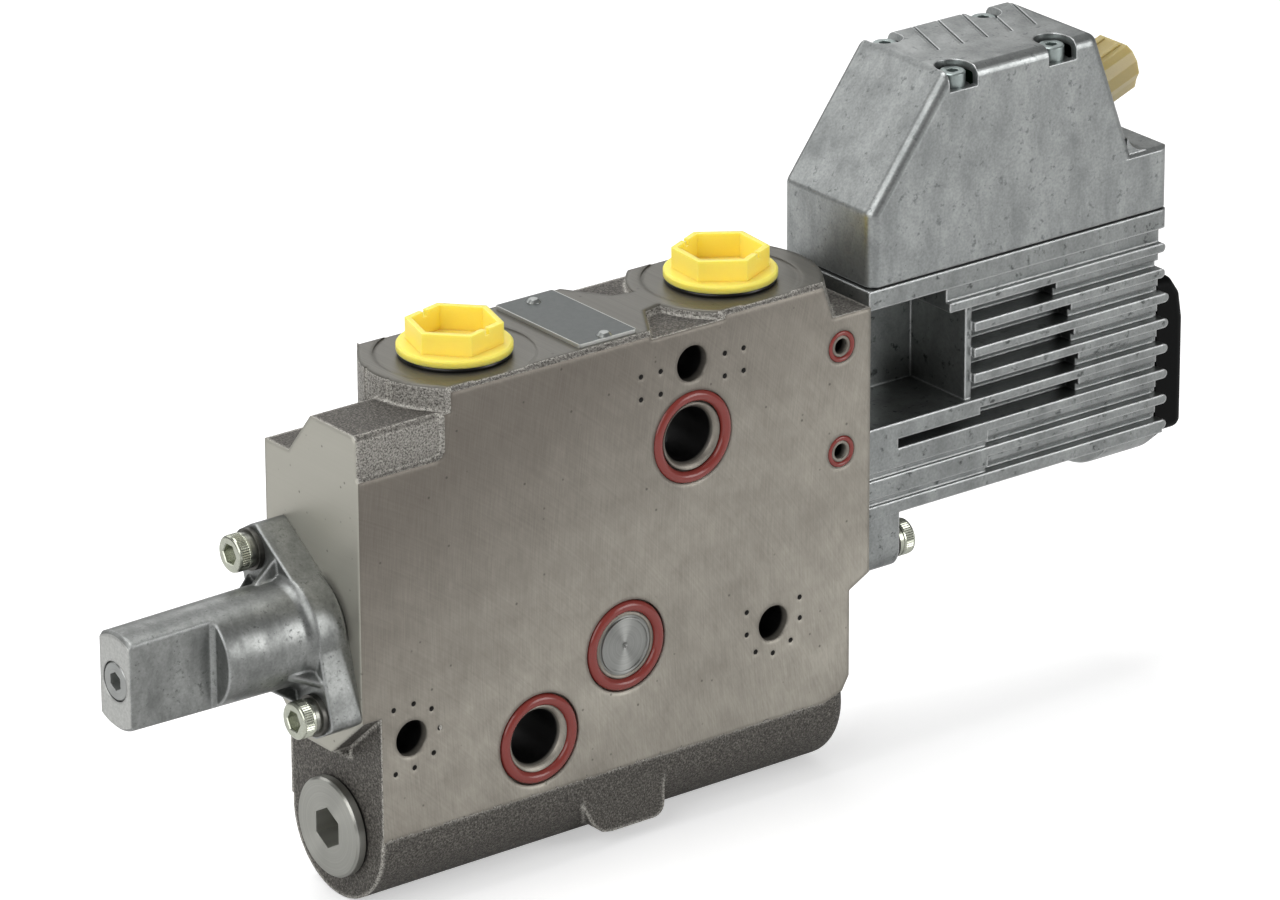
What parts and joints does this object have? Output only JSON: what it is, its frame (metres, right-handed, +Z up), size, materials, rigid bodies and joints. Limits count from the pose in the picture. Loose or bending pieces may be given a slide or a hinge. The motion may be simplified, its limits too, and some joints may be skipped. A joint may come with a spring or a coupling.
{
  "type": "hydraulic control valve section",
  "caption": "Stackable hydraulic valve section: cast body with sealed sandwich face, plugged work ports, spring end cap and finned pilot stage with electronics and connector.",
  "frame": {"origin": "centre of the lower left tie-rod hole on the front sandwich face", "axes": "+X from the end cap to the pilot stage, +Y from the front sandwich face into the section, +Z up towards the work ports"},
  "size_m": [0.3411, 0.0417, 0.1903],
  "materials": {
    "cast_body": "phosphated casting with machined faces",
    "alloy_cap": "turned and milled",
    "alloy_die_cast": "die cast",
    "alloy_cover": "die cast, satin",
    "zinc_steel": "zinc plated",
    "black_steel": "black oxide",
    "dark_steel": "phosphated",
    "ground_steel": "ground",
    "yellow_plastic": "moulded",
    "black_rubber": "moulded",
    "red_rubber": "moulded",
    "black_plastic": "moulded",
    "amber_plastic": "moulded, slightly clear",
    "plate_metal": "printed sheet, left plain",
    "winding": "wound copper wire on a bobbin",
    "board_green": "laminate",
    "pin_brass": "bright"
  },
  "bodies": {
    "valve_section": {"valve_body": "cast_body", "spool_spring_cap_side": "dark_steel", "spool_spring_pilot_side": "dark_steel", "end_cap": "alloy_cap", "end_cap_seal": "black_rubber", "end_cap_screws": "zinc_steel", "end_cap_washers": "dark_steel", "end_cap_spring_washers": "dark_steel", "end_cap_bleed_screw": "alloy_cap", "pump_port_seal": "red_rubber", "tank_port_seal": "red_rubber", "neutral_port_seal": "red_rubber", "pilot_port_seals": "red_rubber", "neutral_port_disc": "ground_steel", "compensator_lock_plug": "dark_steel", "compensator_plug_seal": "black_rubber", "compensator_spring": "dark_steel", "type_plate": "plate_metal", "plate_rivets": "zinc_steel", "pilot_housing": "alloy_die_cast", "pilot_face_seal": "black_rubber", "pilot_screws": "zinc_steel", "pilot_washers": "black_steel", "pilot_spring_washers": "zinc_steel", "pilot_spring": "dark_steel", "solenoid_coil": "winding", "solenoid_pole_tube": "zinc_steel", "sensor_coil": "winding", "sensor_tube": "zinc_steel", "rear_cap": "black_plastic", "rear_cap_gasket": "black_rubber", "electronics_cover": "alloy_cover", "cover_gasket": "black_rubber", "cover_screws": "zinc_steel", "connector_shell": "amber_plastic", "connector_pins": "pin_brass", "circuit_board": "board_green", "board_components": "black_plastic"},
    "main_spool": {"main_spool": "ground_steel", "sensor_core_rod": "ground_steel"},
    "compensator_spool": {"compensator_spool": "ground_steel"},
    "pilot_spool": {"pilot_spool": "ground_steel", "solenoid_armature": "dark_steel"},
    "port_plug_a": {"port_plug_a": "yellow_plastic", "port_plug_ring_a": "black_rubber"},
    "port_plug_b": {"port_plug_b": "yellow_plastic", "port_plug_ring_b": "black_rubber"}
  },
  "joints": [
    {"name": "spool_travel", "type": "slide", "parent": "valve_section", "child": "main_spool", "axis": [1, 0, 0], "range_m": [-0.007, 0.007], "stiffness_N_per_m": 6000, "deforming": ["spool_spring_cap_side", "spool_spring_pilot_side"]},
    {"name": "compensator_travel", "type": "slide", "parent": "valve_section", "child": "compensator_spool", "axis": [1, 0, 0], "range_m": [-0.004, 0], "stiffness_N_per_m": 4000, "deforming": ["compensator_spring"]},
    {"name": "pilot_travel", "type": "slide", "parent": "valve_section", "child": "pilot_spool", "axis": [1, 0, 0], "range_m": [-0.002, 0], "stiffness_N_per_m": 2000, "deforming": ["pilot_spring"]},
    {"name": "plug_a_removal", "type": "slide", "parent": "valve_section", "child": "port_plug_a", "axis": [0, 0, 1], "range_m": [0, 0.03]},
    {"name": "plug_b_removal", "type": "slide", "parent": "valve_section", "child": "port_plug_b", "axis": [0, 0, 1], "range_m": [0, 0.03]}
  ]
}
